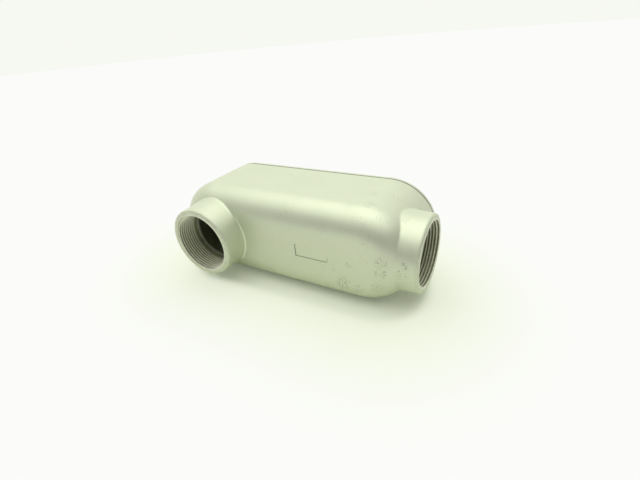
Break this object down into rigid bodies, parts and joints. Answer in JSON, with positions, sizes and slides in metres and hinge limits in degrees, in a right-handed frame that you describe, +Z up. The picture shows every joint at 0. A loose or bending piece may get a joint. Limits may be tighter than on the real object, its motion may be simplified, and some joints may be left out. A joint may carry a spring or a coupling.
{
  "type": "conduit body",
  "caption": "Elbow conduit body with a rounded outline: threaded hubs at one end and in the back wall, and a gasketed cover on the front held by slotted screws.",
  "frame": {"origin": "middle of the footprint, on the surface that the side wall lies on", "axes": "+X along the body, out of the end hub; +Y out of the cover, so the back hub opens towards -Y; +Z up, across the width"},
  "size_m": [0.3094, 0.137, 0.108],
  "materials": {
    "casting_paint": "satin light grey paint on a casting",
    "cover_paint": "satin light grey paint on a casting",
    "gasket_rubber": "matt black",
    "screw_steel": "zinc plated",
    "retainer_fibre": "vulcanised fibre"
  },
  "bodies": {
    "casting": {"body": "casting_paint"},
    "cover": {"cover": "cover_paint", "gasket": "gasket_rubber"},
    "screw_1": {"cover_screw_1": "screw_steel", "screw_retainer_1": "retainer_fibre"},
    "screw_2": {"cover_screw_2": "screw_steel", "screw_retainer_2": "retainer_fibre"},
    "screw_3": {"cover_screw_3": "screw_steel", "screw_retainer_3": "retainer_fibre"},
    "screw_4": {"cover_screw_4": "screw_steel", "screw_retainer_4": "retainer_fibre"}
  },
  "joints": [
    {"name": "cover_lift", "type": "slide", "parent": "casting", "child": "cover", "axis": [0, 1, 0], "range_m": [0, 0.15]},
    {"name": "screw_1_turn", "type": "hinge", "parent": "cover", "child": "screw_1", "pos_m": [0.0834, 0.0685, 0.0988], "axis": [0, 1, 0], "continuous": true},
    {"name": "screw_2_turn", "type": "hinge", "parent": "cover", "child": "screw_2", "pos_m": [-0.0926, 0.0685, 0.0988], "axis": [0, 1, 0], "continuous": true},
    {"name": "screw_3_turn", "type": "hinge", "parent": "cover", "child": "screw_3", "pos_m": [-0.0926, 0.0685, 0.0092], "axis": [0, 1, 0], "continuous": true},
    {"name": "screw_4_turn", "type": "hinge", "parent": "cover", "child": "screw_4", "pos_m": [0.0834, 0.0685, 0.0092], "axis": [0, 1, 0], "continuous": true}
  ]
}
